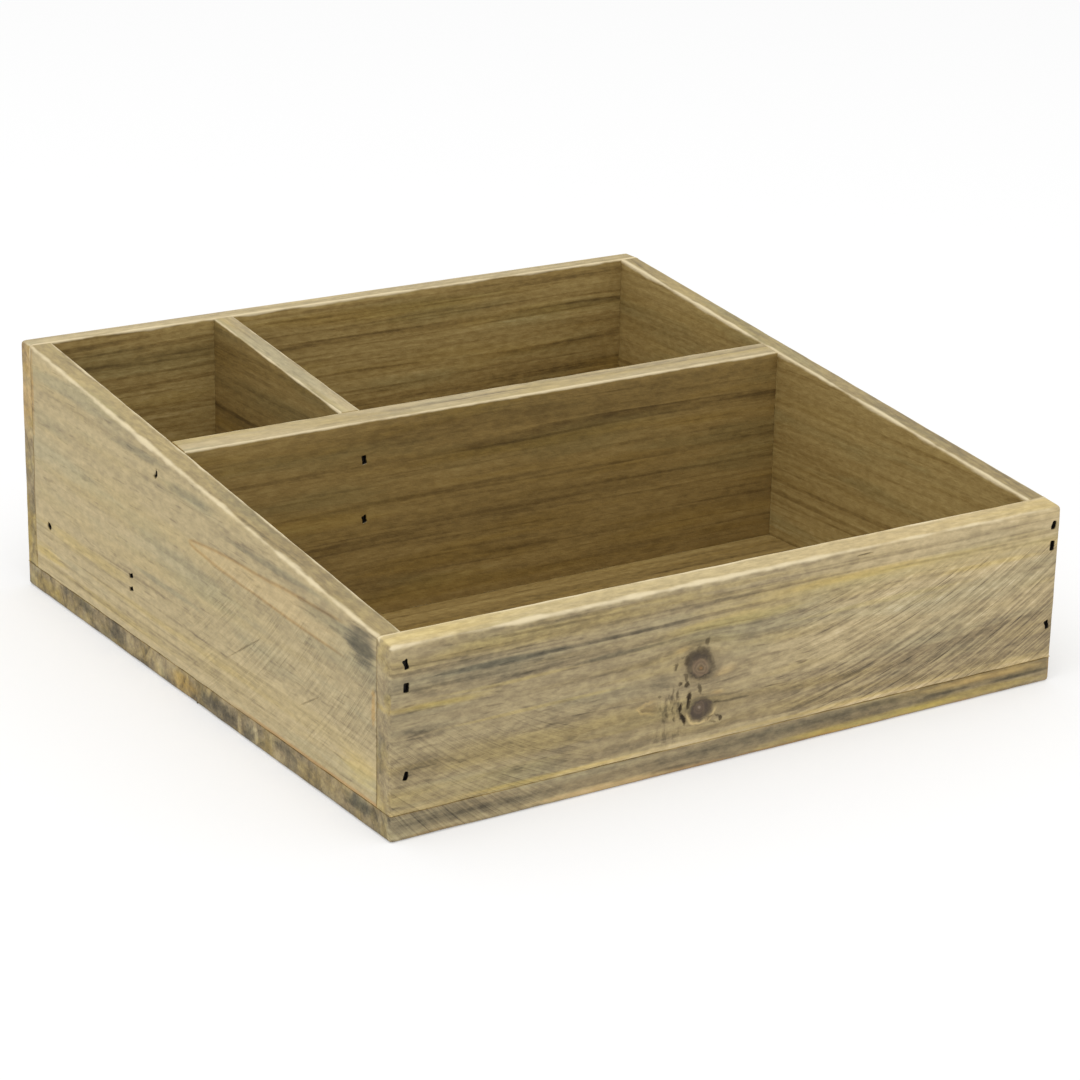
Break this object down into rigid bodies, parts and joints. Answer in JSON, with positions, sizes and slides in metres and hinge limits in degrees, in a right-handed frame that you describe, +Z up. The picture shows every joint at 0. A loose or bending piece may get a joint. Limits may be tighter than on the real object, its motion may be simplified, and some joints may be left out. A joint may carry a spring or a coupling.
{
  "type": "condiment caddy",
  "caption": "Open wooden caddy with sloping sides, a deep front bay and smaller raised bays behind a cross divider, for cups, sachets and condiments on a table.",
  "frame": {"origin": "middle of the underside of the base", "axes": "+X to the right as seen from the low front, +Y to the tall back, +Z up"},
  "size_m": [0.28, 0.28, 0.099],
  "materials": {
    "outer_pine": "weathered olive-tan stain, matte, rubbed pale along the edges",
    "inner_pine": "the same stain, darker and browner, matte",
    "base_pine": "the same stain with grey, matte, dark on the end grain",
    "brad_steel": "dull dark steel wire"
  },
  "bodies": {
    "root": {"back_board": "outer_pine", "base_plank_back": "base_pine", "base_plank_front": "base_pine", "brad_back_left_lower": "brad_steel", "brad_back_left_second": "brad_steel", "brad_back_left_upper": "brad_steel", "brad_back_right_lower": "brad_steel", "brad_back_right_second": "brad_steel", "brad_back_right_upper": "brad_steel", "brad_base_back_board_left": "brad_steel", "brad_base_back_board_middle": "brad_steel", "brad_base_back_board_right": "brad_steel", "brad_base_divider_left": "brad_steel", "brad_base_divider_right": "brad_steel", "brad_base_front_board_left": "brad_steel", "brad_base_front_board_middle": "brad_steel", "brad_base_front_board_right": "brad_steel", "brad_base_left_back_inner": "brad_steel", "brad_base_left_back_outer": "brad_steel", "brad_base_left_front_inner": "brad_steel", "brad_base_left_front_outer": "brad_steel", "brad_base_right_back_inner": "brad_steel", "brad_base_right_back_outer": "brad_steel", "brad_base_right_front_inner": "brad_steel", "brad_base_right_front_outer": "brad_steel", "brad_front_left_lower": "brad_steel", "brad_front_left_second": "brad_steel", "brad_front_left_upper": "brad_steel", "brad_front_right_lower": "brad_steel", "brad_front_right_second": "brad_steel", "brad_front_right_upper": "brad_steel", "brad_left_divider": "brad_steel", "brad_left_floor_back": "brad_steel", "brad_left_floor_front_high": "brad_steel", "brad_left_floor_front_low": "brad_steel", "brad_partition_back_lower": "brad_steel", "brad_partition_back_upper": "brad_steel", "brad_partition_front_lower": "brad_steel", "brad_partition_front_upper": "brad_steel", "brad_right_divider": "brad_steel", "brad_right_floor_back": "brad_steel", "brad_right_floor_front": "brad_steel", "cross_divider": "inner_pine", "front_board": "outer_pine", "left_side": "outer_pine", "partition": "inner_pine", "rear_floor": "inner_pine", "right_side": "outer_pine"}
  },
  "joints": []
}
